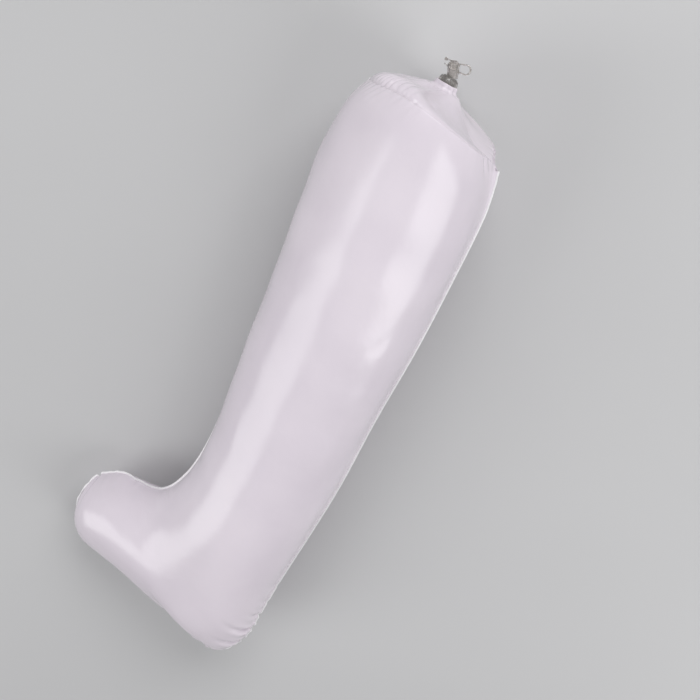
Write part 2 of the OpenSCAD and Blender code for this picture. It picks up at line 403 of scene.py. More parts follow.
def make_object(
    name: str, points: np.ndarray, faces: Faces, smooth: bool = True
) -> bpy.types.Object:
    """Adds a mesh object to the scene.

    Args:
        name: The object's name.
        points: Its vertices, one row each.
        faces: Its faces, as vertex numbers.
        smooth: Whether its faces are shaded smooth.

    Returns:
        The new object.
    """
    mesh = bpy.data.meshes.new(name)
    mesh.from_pydata([tuple(p) for p in points], [], faces)
    mesh.validate()
    mesh.shade_smooth() if smooth else mesh.shade_flat()
    obj = bpy.data.objects.new(name, mesh)
    bpy.context.scene.collection.objects.link(obj)
    return obj


def apply_modifiers(obj: bpy.types.Object) -> None:
    """Turns the object's modifiers into mesh.

    Args:
        obj: The object.
    """
    bpy.context.view_layer.update()
    evaluated = obj.evaluated_get(bpy.context.evaluated_depsgraph_get())
    mesh = bpy.data.meshes.new_from_object(evaluated)
    obj.modifiers.clear()
    obj.data = mesh


def grid_faces(rows: int, columns: int, wrap: bool = False, flip: bool = False) -> Faces:
    """Four-sided faces over a grid of vertices.

    Args:
        rows: How many rows of vertices.
        columns: How many vertices in each row.
        wrap: Whether each row is a closed loop.
        flip: Whether the faces look the other way.

    Returns:
        The faces.
    """
    faces = []
    for i in range(rows - 1):
        for j in range(columns if wrap else columns - 1):
            k = (j + 1) % columns
            quad = (i * columns + j, i * columns + k, (i + 1) * columns + k, (i + 1) * columns + j)
            faces.append(quad[::-1] if flip else quad)
    return faces


# The bladder


@dataclass(frozen=True)
class Station:
    """A line across the mid-plane, from the shin or instep to the back or sole.

    Attributes:
        front: Its shin end (x, y).
        rear: Its back end (x, y).
        half_depth: Half the bladder's thickness there.
    """

    front: tuple[float, float]
    rear: tuple[float, float]
    half_depth: float


def leg_and_foot() -> tuple[Station, ...]:
    """The stations from the top seam down the leg, round the heel and out to the toe.

    Returns:
        The stations in that order.
    """
    return (
        Station((-0.0520, 0.4720), (0.0525, 0.4470), 0.0660),
        Station((-0.0595, 0.4540), (0.0555, 0.4310), 0.0650),
        Station((-0.0665, 0.4220), (0.0565, 0.4110), 0.0630),
        Station((-0.0680, 0.3750), (0.0540, 0.3700), 0.0620),
        Station((-0.0690, 0.3100), (0.0485, 0.3060), 0.0600),
        Station((-0.0697, 0.2400), (0.0402, 0.2400), 0.0560),
        Station((-0.0705, 0.1900), (0.0345, 0.1820), 0.0530),
        Station((-0.0730, 0.1600), (0.0275, 0.1350), 0.0515),
        Station((-0.0780, 0.1360), (0.0195, 0.0880), 0.0510),
        Station((-0.0860, 0.1180), (0.0140, 0.0500), 0.0490),
        Station((-0.0950, 0.1080), (0.0085, 0.0210), 0.0430),
        Station((-0.1050, 0.1040), (-0.0100, -0.0015), 0.0370),
        Station((-0.1180, 0.1036), (-0.0550, 0.0135), 0.0360),
        Station((-0.1310, 0.1038), (-0.0950, 0.0265), 0.0345),
        Station((-0.1420, 0.0995), (-0.1230, 0.0325), 0.0320),
        Station((-0.1510, 0.0895), (-0.1410, 0.0365), 0.0260),
        Station((-0.1570, 0.0770), (-0.1525, 0.0440), 0.0160),
        Station((-0.1598, 0.0635), (-0.1584, 0.0555), 0.0),
    )


def photographed_creases() -> tuple[Crease, ...]:
    """The creases that the photograph shows on the near side, along the three seams.

    Returns:
        The creases, seam by seam.
    """
    shin, back, top = SeamSide.SHIN, SeamSide.BACK, SeamSide.TOP
    return (
        Crease(shin, 0.4315, 0.0020, 0.0024, 0.016, 0.3),
        Crease(shin, 0.4440, 0.0034, 0.0007, 0.014, 0.1),
        Crease(shin, 0.4180, 0.0032, 0.0008, 0.016, -0.2),
        Crease(shin, 0.4060, 0.0030, 0.0002, 0.010, 0.3, 0.008),
        Crease(shin, 0.3912, 0.0022, 0.0004, 0.010, 0.25, 0.009),
        Crease(shin, 0.3800, 0.0026, 0.0002, 0.010, -0.1, 0.008),
        Crease(shin, 0.3673, 0.0022, 0.0005, 0.013, -0.2, 0.010),
        Crease(shin, 0.3433, 0.0028, 0.0003, 0.012, -0.4, 0.010),
        Crease(shin, 0.3260, 0.0036, 0.0004, 0.018, -0.4, 0.010),
        Crease(back, 0.6160, 0.0024, 0.0010, 0.012, 0.1),
        Crease(back, 0.6040, 0.0022, 0.0012, 0.013, 0.1),
        Crease(back, 0.5910, 0.0020, 0.0022, 0.016, 0.2),
        Crease(back, 0.5841, 0.0018, 0.0018, 0.014, -0.1),
        Crease(back, 0.5640, 0.0028, 0.0007, 0.014, 0.1),
        Crease(back, 0.5400, 0.0028, 0.0008, 0.014, 0.2),
        Crease(back, 0.5104, 0.0022, 0.0022, 0.018, -0.2),
        Crease(back, 0.4960, 0.0026, 0.0009, 0.013, 0.2),
        Crease(back, 0.4840, 0.0026, 0.0010, 0.013, 0.1),
        Crease(back, 0.4705, 0.0030, 0.0022, 0.010, 0.2, 0.010, True),
        Crease(back, 0.4780, 0.0180, 0.0062, 0.020, 0.0, 0.022, True),
        Crease(back, 0.4860, 0.0120, -0.0042, 0.010, 0.0, 0.0, True),
        Crease(back, 0.4560, 0.0060, 0.0018, 0.010, 0.0, 0.0, True),
        Crease(back, 0.4619, 0.0024, 0.0060, 0.012, -0.1),
        Crease(back, 0.4530, 0.0026, 0.0007, 0.012, 0.1),
        Crease(back, 0.4430, 0.0026, 0.0007, 0.016, 0.4),
        Crease(back, 0.4318, 0.0024, 0.0047, 0.020, 0.25),
        Crease(back, 0.4177, 0.0024, 0.0047, 0.023, 0.05),
        Crease(back, 0.4043, 0.0021, 0.0016, 0.014, -0.2),
        Crease(back, 0.3900, 0.0026, 0.0006, 0.014, -0.3),
        Crease(back, 0.3720, 0.0030, 0.0005, 0.014, -0.2),
        Crease(back, 0.0960, 0.0014, 0.0005, 0.004, 0.9, 0.050),
        Crease(top, 0.0300, 0.0022, 0.0002, 0.006, -0.5),
        Crease(top, 0.0380, 0.0019, 0.0003, 0.006, -0.6),
        Crease(top, 0.0450, 0.0017, 0.0004, 0.007, -0.6),
        Crease(top, 0.0525, 0.0017, 0.0005, 0.008, -0.6),
        Crease(top, 0.0600, 0.0017, 0.0005, 0.008, -0.6),
        Crease(top, 0.0680, 0.0018, 0.0005, 0.008, -0.6),
        Crease(top, 0.0770, 0.0018, 0.0004, 0.008, -0.5),
        Crease(top, 0.0880, 0.0020, 0.0003, 0.010, -0.4),
        Crease(top, 0.0990, 0.0022, 0.0003, 0.009, -0.3),
        Crease(top, 0.1330, 0.0030, 0.0004, 0.010, 0.2),
        Crease(top, 0.1640, 0.0022, 0.0022, 0.009, 0.5),
        Crease(top, 0.1760, 0.0024, 0.0008, 0.007, 0.3),
    )


def puckers_round_dome() -> Table:
    """The folds that the photograph shows round the dome, as angle in degrees and strength.

    Returns:
        One row for each fold.
    """
    return (
        (27, 0.5), (35, 0.8), (42, 1.0), (49, 1.3), (56, 1.6), (64, 1.5), (73, 1.1), (83, 0.8), (93, 0.5),
        (151, 1.0), (10, 0.6), (19, 0.5), (112, 0.2),
    )


@dataclass(frozen=True)
class Relief:
    """The film's small uneven forms, in metres.

    Attributes:
        lone_gap: How far a crease that stands alone stays from the seam.
        ruffle: The seam puckers' greatest depth.
        ruffle_bend: The seam's curvature, in 1/m, at which its puckers are deepest.
        ruffle_least: How much of them a straight seam keeps.
        ruffle_first: Where along a seam the first one is.
        ruffle_widths: Half their least and greatest widths.
        ruffle_gaps: The least and greatest distances between them.
        ruffle_reach: How far they run into the film.
        top_bend: The curvature that stands for the top seam's.
        top_reach: How far the top seam's puckers run down the film.
        toe_calm: How far from the toe's end the film stays smooth.
        shoulder: How much the film rounds over at the top seam.
        shoulder_reach: How far that rounding runs down.
        waves: The slow waves, each its height and its wavelength.
        waves_calm: How far from every edge the waves begin.
        waves_foot: How much of the waves the foot loses.
    """

    lone_gap: float = 0.007
    ruffle: float = 0.0010
    ruffle_bend: float = 45.0
    ruffle_least: float = 0.06
    ruffle_first: float = 0.004
    ruffle_widths: tuple[float, float] = (0.0026, 0.0042)
    ruffle_gaps: tuple[float, float] = (0.008, 0.016)
    ruffle_reach: float = 0.009
    top_bend: float = 14.0
    top_reach: float = 0.008
    toe_calm: float = 0.005
    shoulder: float = 0.0030
    shoulder_reach: float = 0.010
    waves: Table = ((0.00035, 0.055), (0.00055, 0.13))
    waves_calm: float = 0.012
    waves_foot: float = 0.85


@dataclass(frozen=True)
class Rim:
    """The flat welded rim beside the shin and back seams, and round the toe.

    Attributes:
        width: Its width, in metres.
        steps: Its steps outwards, each its share of the width and its height over the mid-plane.
        welded: How much of the weld's look the film has, from the rim's edge inwards.
        narrow: How much of the width the shin's rim loses at the top corner.
        narrow_reach: How far down that runs.
        toe_bulge: How much wider it is in the middle of the toe.
    """

    width: float = 0.0016
    steps: Table = ((0.18, 0.00012), (0.45, -0.00004), (1.0, 0.0))
    welded: tuple[float, ...] = (1.0, 0.8, 0.45, 0.15)
    narrow: float = 0.8
    narrow_reach: float = 0.009
    toe_bulge: float = 0.2


@dataclass(frozen=True)
class Dome:
    """The domed top panel and its neck, in metres.

    Attributes:
        rise: How high the dome stands over the top seam.
        crown: How much fuller than straight it is all round.
        crown_to_shin: How much fuller still it is towards the shin.
        side_bulge: How far it stands out beside the seam, at its sides.
        corner_draw: How far it is drawn in over the back corner.
        groove: The groove's depth along the seam.
        groove_reach: How far the groove runs, as a share of the way to the neck.
        crease_reach: How far the side panels' creases run, as such a share.
        fold: The depth of a fold of strength 1.
        fold_peak: Where a fold is deepest beside the seam, as such a share.
        fold_at_neck: How deep it is beside the neck, where it reaches the neck.
        fold_lean: How far a fold on the shin's side turns on its way, in radians.
        rings: How many rings it has.
        neck_radius: The neck's radius.
        neck_height: Its height.
        neck_spread: How far its foot spreads.
        neck_skirt: How much further the foot spreads towards the shin.
        neck_lump: How uneven the neck is.
        lip_radius: The opening's radius at the neck's lip.
        neck_rings: How many rings the neck has.
    """

    rise: float = 0.017
    crown: float = 1.1
    crown_to_shin: float = 1.4
    side_bulge: float = 0.0075
    corner_draw: float = 0.0062
    groove: float = 0.0007
    groove_reach: float = 0.035
    crease_reach: float = 0.10
    fold: float = 0.0008
    fold_peak: float = 0.13
    fold_at_neck: float = 0.45
    fold_lean: float = -0.12
    rings: int = 56
    neck_radius: float = 0.0086
    neck_height: float = 0.0052
    neck_spread: float = 0.0034
    neck_skirt: float = 0.0030
    neck_lump: float = 0.0012
    lip_radius: float = 0.0076
    neck_rings: int = 16


@dataclass
class Bladder:
    """The film bladder: two side panels welded all round, and a domed panel that closes the top.

    Attributes:
        stations: The lines that the side panels are lofted from.
        creases: The photographed creases.
        relief: The film's small uneven forms.
        dome: The top panel's sizes.
        folds: The photographed folds round the dome.
        film: The film's thickness.
        rim: The flat welded rim.
        grow: How far the film reaches past the frame's, into that narrow rim.
        front_growth: The share of it along the shin and instep, at places t.
        rear_growth: The share of it along the back and sole.
        depth_blur: How far along t the depth is averaged.
        seam_bow: How far the top seam bows up in its middle.
        seam_fade: The place t where that bow has gone.
        corner_climb: How steeply the top seam climbs from the back corner.
        corner_out: How far the film stands out just under that corner.
        corner_reach: How far down the place t of that runs.
        instep: How much of the instep's sharper section there is, at places t.
        instep_lens: How much sharper it is.
        valve_to_shin: How far the valve stands from the middle, towards the shin.
        pitch: The bladder's turn about X as it lies.
        roll: Its turn about Y.
        rings: How many rows of faces run across a side panel.
        columns: How many run along it.
        shift: Where the drawn origin lies in the frame.
    """

    stations: tuple[Station, ...] = field(default_factory=leg_and_foot)
    creases: tuple[Crease, ...] = field(default_factory=photographed_creases)
    relief: Relief = Relief()
    dome: Dome = Dome()
    folds: Table = field(default_factory=puckers_round_dome)
    film: float = 0.0003
    rim: Rim = Rim()
    grow: float = 0.0019
    front_growth: Table = (
        (0.0, 0.5), (0.10, 0.4), (0.35, 0.2), (0.50, 0.6), (0.60, 0.3), (0.72, 0.8), (0.80, 0.6), (0.87, 0.9),
        (1.0, 1.0),
    )
    rear_growth: Table = ((0.0, 1.0), (0.60, 1.0), (0.70, 0.5), (0.84, 0.3), (0.92, 0.7), (1.0, 1.0))
    depth_blur: float = 0.09
    seam_bow: float = 0.012
    seam_fade: float = 0.18
    corner_climb: float = 0.010
    corner_out: float = 0.0012
    corner_reach: float = 0.045
    instep: Table = ((0.66, 0.0), (0.76, 1.0), (0.86, 1.0), (0.93, 0.0))
    instep_lens: float = 0.45
    valve_to_shin: float = 0.0066
    pitch: float = math.radians(1.6)
    roll: float = math.radians(-10.2)
    rings: int = 430
    columns: int = 150
    shift: np.ndarray = field(default_factory=lambda: np.zeros(3))

    def rotation(self) -> np.ndarray:
        """The turn that lays the drawn bladder on its side.

        Returns:
            The turn as a matrix, (3, 3).
        """
        cp, sp, cr, sr = math.cos(self.pitch), math.sin(self.pitch), math.cos(self.roll), math.sin(self.roll)
        about_x = np.array([[1, 0, 0], [0, cp, -sp], [0, sp, cp]])
        about_y = np.array([[cr, 0, sr], [0, 1, 0], [-sr, 0, cr]])
        return about_y @ about_x

    def rest(self, drawn: np.ndarray) -> np.ndarray:
        """Drawn points, laid down where the frame has them.

        Args:
            drawn: Points, the last axis x, y, z.

        Returns:
            The same points in the frame.
        """
        return drawn @ self.rotation().T + self.shift

    def settled(self, drawn: np.ndarray) -> np.ndarray:
        """Drawn points of the film, laid down and pressed flat where they meet the floor.

        Args:
            drawn: Points, the last axis x, y, z.

        Returns:
            The same points in the frame, none of them under the floor.
        """
        points = self.rest(drawn)
        z, give = points[..., 2], 4 * self.film
        points[..., 2] = np.where(z < give, give * np.exp(np.minimum(z - give, 0) / give), z)
        return points

    def drawn_rows(self, t: np.ndarray) -> tuple[np.ndarray, np.ndarray, np.ndarray]:
        """The station lines at places t, as the frame's solids have them.

        Args:
            t: Places from the top seam, 0, to the toe, 1.

        Returns:
            Their front ends, rear ends and half depths.
        """
        table = np.array([[*s.front, *s.rear, s.half_depth] for s in self.stations])
        s = catmull_rom(table, t)
        return s[:, 0:2], s[:, 2:4], np.maximum(s[:, 4], self.film)

    def rows(self, t: np.ndarray) -> tuple[np.ndarray, np.ndarray, np.ndarray]:
        """The station lines at places t, drawn out to the narrow weld that the photograph shows.

        Args:
            t: Places from the top seam, 0, to the toe, 1.

        Returns:
            Their front ends, rear ends and half depths.
        """
        front, rear, _ = self.drawn_rows(t)
        full_from, full_to, nose_from, brow_from = 0.10, 0.82, 0.90, 0.84
        reach = self.depth_blur * ramped(t, 0.0, full_from) * ramped(-t, -1.0, -full_to)
        beside = [self.drawn_rows(t + reach * step)[2] for step in (-1.0, -0.6, -0.2, 0.2, 0.6, 1.0)]
        depth = sum(beside) / len(beside)
        at_front, at_rear = (np.interp(t, *zip(*table)) for table in (self.front_growth, self.rear_growth))
        widen = unit(rear - front) * self.grow
        nose = ramped(t, nose_from, 1.0)[:, None] ** 2 * [-self.grow, 0.0]
        brow = np.sin(np.pi * ramped(t, brow_from, 1.0))[:, None] * [-0.6 * self.grow, 0.8 * self.grow]
        front = front - widen * at_front[:, None] + nose + brow
        return front, rear + widen * at_rear[:, None] + nose, depth

    def places(self) -> np.ndarray:
        """Places t along the body, closest at the top seam and round the foot.

        Returns:
            The places, from 0 at the top seam to 1 at the toe.
        """
        t = np.linspace(0, 1, 4001)
        front, rear, _ = self.rows(t)
        steps = np.maximum(*(np.linalg.norm(np.diff(line, axis=0), axis=1) for line in (front, rear)))
        middle = (t[1:] + t[:-1]) / 2
        more, top_reach, foot_from, foot_soft = 1.4, 0.06, 0.50, 0.02
        close = 1 + more * near(middle, top_reach) + more * step_up(middle, foot_from, foot_soft)
        run = np.concatenate([[0], np.cumsum(steps * close)])
        return np.interp(np.linspace(0, run[-1], self.rings + 1), run, t)

    def angles(self) -> np.ndarray:
        """Angles round the half section, closest beside the seams and under the top's puckers.

        Returns:
            The angles, from 0 at the shin seam to pi at the back seam.
        """
        a = np.linspace(0, math.pi, 2001)
        at_seams, seam_reach, at_puckers, puckers_middle, puckers_reach = 2.5, 0.25, 1.6, 1.05, 0.5
        close = 1 + at_seams * (near(a, seam_reach) + near(math.pi - a, seam_reach))
        close = close + at_puckers * near(a - puckers_middle, puckers_reach, 4)
        run = np.concatenate([[0], np.cumsum((close[1:] + close[:-1]) / 2)])
        return np.interp(np.linspace(0, run[-1], self.columns + 1), run, a)

    def top_line(self) -> tuple[np.ndarray, np.ndarray]:
        """The direction across the top seam's chord, and the way up the leg there.

        Returns:
            The two directions, in the drawn plane.
        """
        front, rear, _ = self.drawn_rows(np.array([0.0]))
        across = unit(rear[0] - front[0])
        return across, np.array([-across[1], across[0]])

    def panel_points(self, t: np.ndarray, a: np.ndarray) -> np.ndarray:
        """The left panel's smooth film, without creases.

        Args:
            t: Places along the body.
            a: Angles round the half section, from the shin seam, 0, to the back seam, pi.

        Returns:
            Points of shape (len(t), len(a), 3), in the drawn frame.
        """
        front, rear, depth = self.rows(t)
        across = unit(rear - front)
        up = np.stack([-across[:, 1], across[:, 0]], 1)
        half = np.linalg.norm(rear - front, axis=1)[:, None] / 2
        side = np.maximum(np.sin(a), 0)
        to_back = (1 - np.cos(a)) / 2
        # The top seam bows up in its middle and climbs from the back corner, where the film juts out.
        fade = np.maximum(0, 1 - t / self.seam_fade)[:, None] ** 2
        climb = self.corner_climb * side**0.35
        rise = (self.seam_bow * side**2 + climb * to_back**6) * fade
        jut = 1.2 * climb * to_back**14 * fade
        back = jut - self.corner_out * to_back**10 * near(t, self.corner_reach)[:, None]
        xy = (front + rear)[:, None] / 2 - across[:, None] * (half * np.cos(a) + back)[..., None]
        xy = xy + up[:, None] * rise[..., None]
        # On the instep the section is sharper towards the shin, which draws the foot's highlight.
        instep = np.interp(t, *zip(*self.instep))[:, None]
        lens = 1 + self.instep_lens * instep * np.maximum(np.cos(a), 0) ** 0.5
        z = self.film + (depth - self.film)[:, None] * side**lens
        return np.concatenate([xy, z[..., None]], -1)

    def seam_ruffle(self, place: np.ndarray, bend: np.ndarray, seed: int) -> np.ndarray:
        """Small uneven puckers along a seam, deeper where the seam bends.

        Args:
            place: Distances along the seam.
            bend: The seam's curvature at each of them, in 1/m, above 0 where it bends round the body.
            seed: Fixes the pattern.

        Returns:
            The ruffle's depth at each place.
        """
        relief = self.relief
        rng = np.random.default_rng(seed)
        total = np.zeros_like(place)
        at = relief.ruffle_first
        while at < place[-1]:
            width = rng.uniform(*relief.ruffle_widths)
            strength = np.interp(at, place, np.clip(bend / relief.ruffle_bend, relief.ruffle_least, 1.0))
            total += rng.uniform(0.3, 1.0) * strength * relief.ruffle * hat((place - at) / width)
            at += rng.uniform(*relief.ruffle_gaps)
        return total

    def add_creases(self, sink: np.ndarray, runs: SeamMap, inward: SeamMap, seed: int) -> None:
        """Adds the photographed creases' depth to the film's.

        Args:
            sink: How deep the film lies under its smooth form, which this changes.
            runs: Distances along each seam.
            inward: Distances from each seam into the film.
            seed: 1 for the panel that the photograph shows; another one turns its creases.
        """
        relief = self.relief
        rng = np.random.default_rng(seed)
        for crease in self.creases:
            r = inward[crease.seam]
            sway = crease.slant * (1 if seed == 1 else rng.uniform(-1, 1))
            x = (runs[crease.seam] - crease.at - sway * r) / (crease.width * (1 + 0.5 * r / crease.reach))
            share = near(np.abs(r - crease.start), crease.reach, 2.2)
            if crease.start > 0:
                share = share * (1 - near(r, relief.lone_gap))
            sink += crease.depth * (near(x, 1.0) if crease.dent else hat(x)) * share

    def add_puckers(self, sink: np.ndarray, points: np.ndarray, runs: SeamMap, inward: SeamMap) -> None:
        """Adds the seams' small puckers to the film's depth.

        Args:
            sink: How deep the film lies under its smooth form, which this changes.
            points: The smooth film, (rows, columns, 3).
            runs: Distances along each seam.
            inward: Distances from each seam into the film.
        """
        relief, fall = self.relief, 1.3
        for number, seam in enumerate((SeamSide.SHIN, SeamSide.BACK)):
            line = points[:, 0 if seam is SeamSide.SHIN else -1, :2]
            place = runs[seam][:, 0]
            heading = np.unwrap(np.arctan2(*np.gradient(line, axis=0).T[::-1]))
            bend = np.gradient(heading, place) * (1 if seam is SeamSide.SHIN else -1)
            ruffle = self.seam_ruffle(place, bend, 11 + number)[:, None]
            sink += ruffle * near(inward[seam], relief.ruffle_reach, fall)
        top = self.seam_ruffle(runs[SeamSide.TOP][0], np.full(points.shape[1], relief.top_bend), 17)
        sink += top * near(inward[SeamSide.TOP], relief.top_reach, fall)

    def creased(self, points: np.ndarray, t: np.ndarray, seed: int) -> np.ndarray:
        """The film with its creases, seam puckers and slow waves.

        Args:
            points: The smooth film, (rows, columns, 3).
            t: Places of the rows.
            seed: Fixes what differs between the two panels.

        Returns:
            The moved points.
        """
        relief = self.relief
        normal = unit(np.cross(np.gradient(points, axis=0), np.gradient(points, axis=1)))
        normal[:, 0] = unit(normal[:, 0] * [1, 1, 0])
        normal[:, -1] = unit(normal[:, -1] * [1, 1, 0])
        steps = np.linalg.norm(np.diff(points, axis=1), axis=2)
        from_shin = np.concatenate([np.zeros((len(points), 1)), np.cumsum(steps, axis=1)], 1)
        from_back = from_shin[:, -1:] - from_shin
        drops = np.linalg.norm(np.diff(points, axis=0), axis=2)
        from_top = np.concatenate([np.zeros((1, points.shape[1])), np.cumsum(drops, axis=0)], 0)
        runs = {SeamSide.SHIN: from_top[:, :1], SeamSide.BACK: from_top[:, -1:], SeamSide.TOP: from_shin[:1]}
        inward = {SeamSide.SHIN: from_shin, SeamSide.BACK: from_back, SeamSide.TOP: from_top}
        sink = np.zeros(points.shape[:2])
        self.add_creases(sink, runs, inward, seed)
        self.add_puckers(sink, points, runs, inward)
        sink *= 1 - near(from_top[-1:] - from_top, relief.toe_calm)
        round_off = np.sin(np.pi * np.clip(from_shin / from_shin[:, -1:], 0, 1)) ** 0.5
        sink += relief.shoulder * near(from_top, relief.shoulder_reach, 1) * round_off
        edge = np.minimum(np.minimum(from_shin, from_back), from_top)
        on_foot = relief.waves_foot * step_up(t, 0.55, 0.04)
        still = (1 - near(edge, relief.waves_calm)) * (1 - on_foot)[:, None]
        for number, (height, wavelength) in enumerate(relief.waves):
            sink += height * gentle_waves(points, wavelength, 20 + 10 * number + seed) * still
        return points - normal * sink[..., None]

    def flange_edges(self, line: np.ndarray) -> np.ndarray:
        """The direction out of the body, in the mid-plane, beside a seam.

        Args:
            line: The seam's points, from the top to the toe.

        Returns:
            One unit vector for each point, pointing to the seam's left.
        """
        v = unit(np.gradient(line[:, :2], axis=0))
        return np.stack([v[:, 1], -v[:, 0], np.zeros(len(v))], 1)

    def with_flange(self, film: np.ndarray, smooth: np.ndarray) -> np.ndarray:
        """Adds the flat welded rim beside the shin and back seams, and round the toe.

        Args:
            film: The creased film, (rows, columns, 3).
            smooth: The same film without creases, which gives the rim's direction.

        Returns:
            The film with one column more on each side, and one row more at the toe, for each of
            the rim's steps.
        """
        rim, count = self.rim, len(self.rim.steps)
        down = np.concatenate([[0], np.cumsum(np.linalg.norm(np.diff(smooth[:, 0], axis=0), axis=1))])
        shin_out = self.flange_edges(smooth[:, 0]) * (1 - rim.narrow * near(down, rim.narrow_reach))[:, None]
        back_out = -self.flange_edges(smooth[:, -1])
        chord = smooth[-1, 0] - smooth[-1, -1]
        toe_out = unit(np.array([chord[1], -chord[0], 0.0]))
        toe_out = -toe_out if toe_out[0] > 0 else toe_out
        front = [film[:, :1] + (shin_out * rim.width * s + [0, 0, h])[:, None] for s, h in rim.steps]
        rear = [film[:, -1:] + (back_out * rim.width * s + [0, 0, h])[:, None] for s, h in rim.steps]
        wide = np.concatenate(front[::-1] + [film] + rear, axis=1)
        bulge = 1 + rim.toe_bulge * np.cos(np.linspace(-1, 1, wide.shape[1]) * math.pi / 2)
        toe = [wide[-1] + (toe_out * rim.width * s * bulge[:, None] + [0, 0, h]) for s, h in rim.steps]
        # Where the toe's rim meets the seams' it turns the corner in an arc.
        for row, (s, _) in zip(toe, rim.steps):
            for columns, seam in ((range(count), count), (range(-count, 0), -count - 1)):
                for column in columns:
                    sideways = (wide[-1, column] - wide[-1, seam]) * [1, 1, 0]
                    reach = max(np.linalg.norm(sideways), rim.width * s)
                    row[column] = wide[-1, seam] + unit(sideways + toe_out * rim.width * s) * reach
        return np.concatenate([wide, np.array(toe)], axis=0)

    def panel(self, name: str, side: int, seed: int) -> bpy.types.Object:
        """Builds one side panel.

        Args:
            name: The piece's name.
            side: 1 for the left panel, -1 for the right.
            seed: Fixes its own creases.

        Returns:
            The panel's object, a closed film.
        """
        t = self.places()
        smooth = self.panel_points(t, self.angles())
        film = self.with_flange(self.creased(smooth, t, seed), smooth) * [1, 1, side]
        faces = grid_faces(film.shape[0], film.shape[1], flip=side > 0)
        obj = make_object(name, self.settled(film.reshape(-1, 3)), faces)
        weld = np.zeros(film.shape[:2])
        for step, share in enumerate(self.rim.welded):
            weld[:, step] = weld[:, -1 - step] = share
        for step, share in enumerate(self.rim.welded):
            weld[-1 - step] = np.maximum(weld[-1 - step], share)
        obj.data.attributes.new("weld", "FLOAT", "POINT").data.foreach_set("value", weld.ravel())
        self.thicken(obj)
        return obj

    def thicken(self, obj: bpy.types.Object) -> None:
        """Gives a sheet of faces the film's thickness, inwards.

        Args:
            obj: The sheet's object.
        """
        solid = obj.modifiers.new("film", "SOLIDIFY")
        solid.thickness = self.film
        solid.offset = -1
        apply_modifiers(obj)

    def valve_seat(self) -> np.ndarray:
        """The middle of the neck's foot, in the drawn frame.

        Returns:
            The point.
        """
        front, rear, _ = self.drawn_rows(np.array([0.0]))
        across, up = self.top_line()
        height = self.seam_bow / 2 + self.dome.rise
        return np.array([*((front[0] + rear[0]) / 2 - across * self.valve_to_shin + up * height), 0.0])

    def top_panel(self, name: str, valve: "Valve") -> bpy.types.Object:
        """Builds the domed panel and the neck that is drawn up round the valve.

        Args:
            name: The piece's name.
            valve: The valve, for the neck's direction.

        Returns:
            The panel's object, a closed film.
        """
        size = self.dome
        t = self.places()
        smooth = self.panel_points(t, self.angles())
        edges = [self.creased(smooth, t, 1)[0], self.creased(smooth, t, 2)[0]]
        seam, plain = (
            np.concatenate([left, (right * [1, 1, -1])[-2:0:-1]]) for left, right in (edges, [smooth[0]] * 2)
        )
        theta = np.linspace(0, 2 * math.pi, len(seam), endpoint=False)
        back, sideways, up = valve.base_axes()
        seat = self.valve_seat()
        leg_up = np.array([*self.top_line()[1], 0.0])

        def circle(radius: np.ndarray, height: np.ndarray | float) -> np.ndarray:
            """A ring round the valve's base."""
            across = back * (np.cos(theta) * radius)[:, None] + sideways * (np.sin(theta) * radius)[:, None]
            return seat - across + up * np.broadcast_to(height, theta.shape)[:, None]

        # The dome runs from the seam, where q is 1, to the neck's foot. Its creases fade from the seam.
        skirt = size.neck_skirt * np.maximum(np.cos(theta), 0) ** 2
        q = (1 - np.linspace(0, 1, size.rings) ** 1.3)[:, None]
        foot = circle(size.neck_radius + size.neck_spread + skirt, 0.0)
        dome = foot * (1 - q)[..., None] + plain * q[..., None] + leg_up * self.dome_lift(theta, q)[..., None]
        dome = dome + (seam - plain) * near(1 - q, size.crease_reach, 1.5)[..., None]
        around = np.roll(dome, -1, axis=1) - np.roll(dome, 1, axis=1)
        outward = unit(np.cross(np.gradient(dome, axis=0), around))
        outward *= np.sign(np.sum(outward[10] * leg_up))
        groove = size.groove * near(1 - q, size.groove_reach) * (q < 1)
        rings = list(dome - outward * (self.gathers(theta, 1 - q) + groove)[..., None])
        uneven = self.neck_lobes(theta)
        for share in np.linspace(0, 1, size.neck_rings)[1:]:
            radius, height = self.neck_profile(share)
            lump = uneven * size.neck_lump * math.sin(math.pi * min(1.0, share * 1.2))
            rings.append(circle(radius + lump + skirt * (1 - share) ** 6, height + lump * 0.4))
        points = np.array(rings)
        faces = grid_faces(len(points), len(theta), wrap=True)
        obj = make_object(name, self.settled(points.reshape(-1, 3)), faces)
        self.thicken(obj)
        return obj

    def dome_lift(self, theta: np.ndarray, q: np.ndarray) -> np.ndarray:
        """How far the dome stands over a straight run from the seam to the neck.

        Args:
            theta: Angles round the dome, 0 towards the shin.
            q: Shares of the way from the neck, 0, to the seam, 1, as a column.

        Returns:
            The height at each share, one row each, and angle.
        """
        size, to_shin = self.dome, np.cos(theta)
        lift = size.rise * q**3 * (1 - q) * (size.crown + size.crown_to_shin * to_shin)
        lift = lift - size.corner_draw * (4 * q * (1 - q)) ** 1.2 * np.maximum(-to_shin, 0)
        to_side = np.sin(theta) ** 2 * step_up(to_shin, -0.40, 0.20)
        return lift + size.side_bulge * to_side * q**2 * (1 - q**5)

    def neck_lobes(self, theta: np.ndarray) -> np.ndarray:
        """How uneven the neck is round its axis, from about -1 to 1.

        Args:
            theta: Angles round it.

        Returns:
            One value for each angle.
        """
        rng = np.random.default_rng(5)
        return sum(
            rng.uniform(0.4, 1.0) * np.cos(n * theta + rng.uniform(0, 2 * math.pi)) for n in (3, 5, 7, 8, 11)
        ) / 3.0

